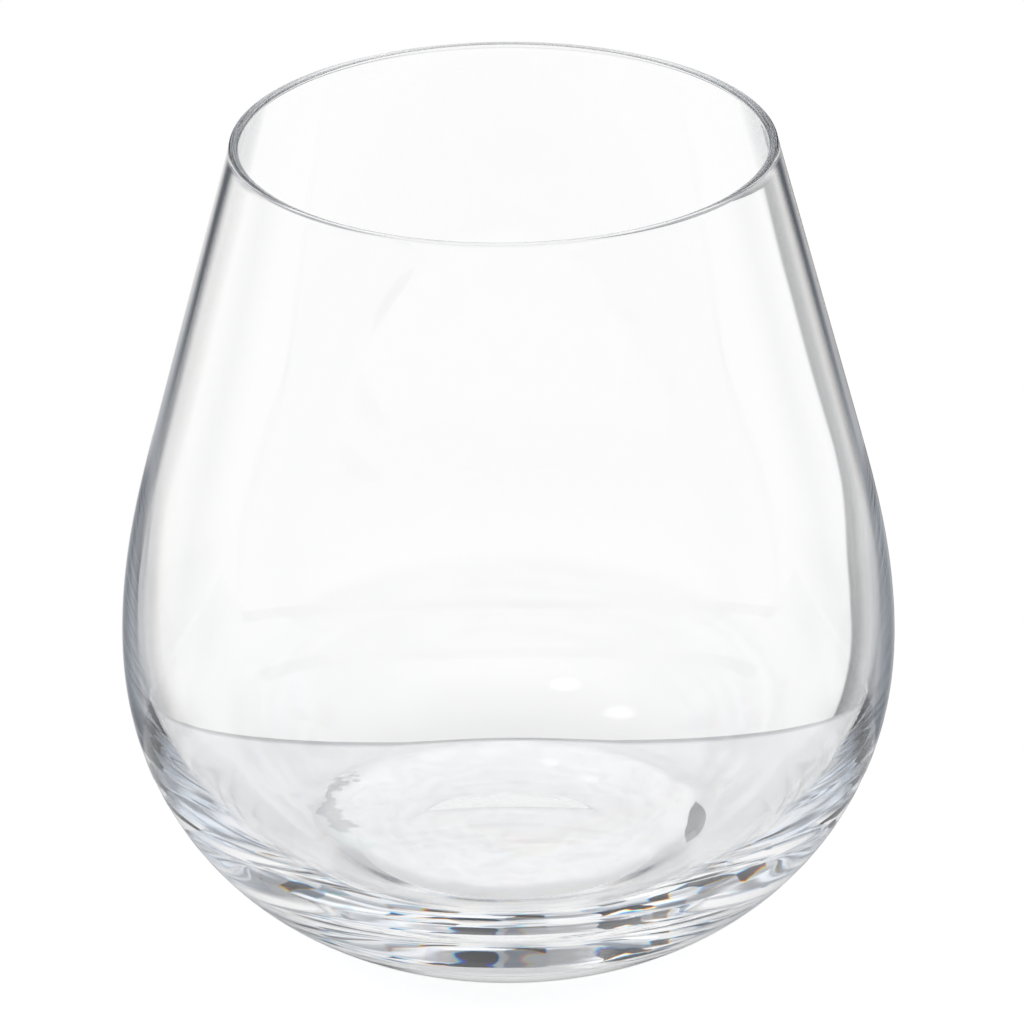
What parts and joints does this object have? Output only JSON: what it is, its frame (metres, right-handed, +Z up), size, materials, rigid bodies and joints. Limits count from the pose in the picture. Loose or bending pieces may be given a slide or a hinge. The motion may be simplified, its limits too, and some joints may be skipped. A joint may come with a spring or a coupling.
{
  "type": "stemless wine glass",
  "caption": "Clear stemless wine glass: a wide rounded bowl that narrows in a straight slant to a thin rounded rim, on a heavy base with a flat standing ring.",
  "frame": {"origin": "centre of the flat ring that the glass stands on, at table level", "axes": "+Z up along the axis of the bowl; X and Y are any two directions across it, because the glass is round"},
  "size_m": [0.097, 0.097, 0.1045],
  "materials": {
    "clear_glass": "clear, fire-polished"
  },
  "bodies": {
    "root": {"glass_body": "clear_glass"}
  },
  "joints": []
}
